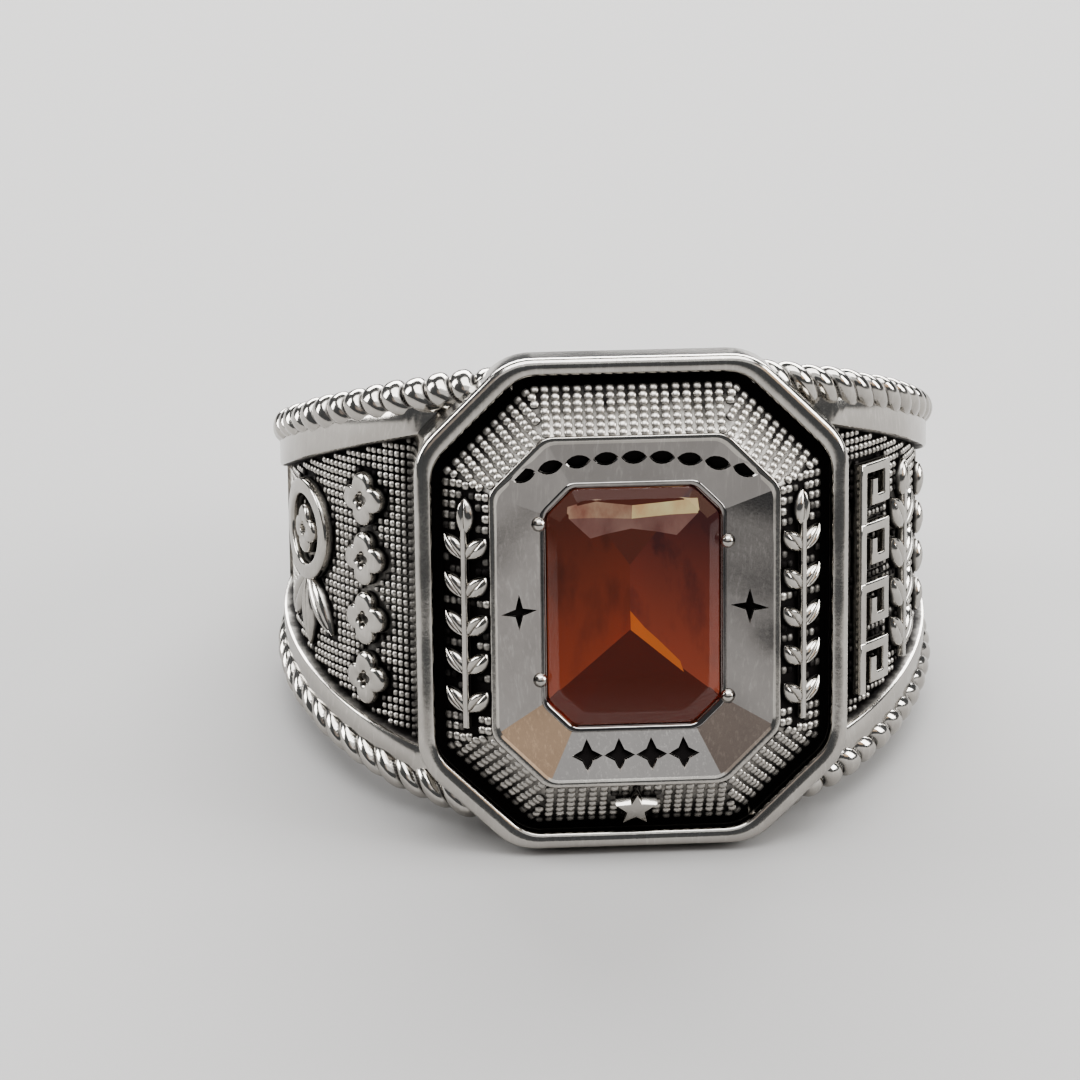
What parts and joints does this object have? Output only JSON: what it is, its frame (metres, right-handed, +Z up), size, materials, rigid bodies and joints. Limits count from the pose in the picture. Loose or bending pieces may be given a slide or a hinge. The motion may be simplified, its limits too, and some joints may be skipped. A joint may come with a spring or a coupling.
{
  "type": "class ring",
  "caption": "Cast finger ring with a raised octagonal bezel, rope-edged tapering shoulders and a cut-corner rectangular stone in a sunk seat.",
  "frame": {"origin": "middle of the ring's outline on the table it lies on; the ring lies on its side with the finger hole pointing up", "axes": "+Z up, along the finger hole but for the tilt at which the ring rests; -Y the way the bezel faces; +X across the finger"},
  "size_m": [0.0252, 0.0275, 0.0178],
  "materials": {
    "silver": "polished sterling silver, blackened in the recesses",
    "stone": "polished orange-red synthetic gemstone"
  },
  "bodies": {
    "root": {"ring_body": "silver", "stone": "stone"}
  },
  "joints": []
}
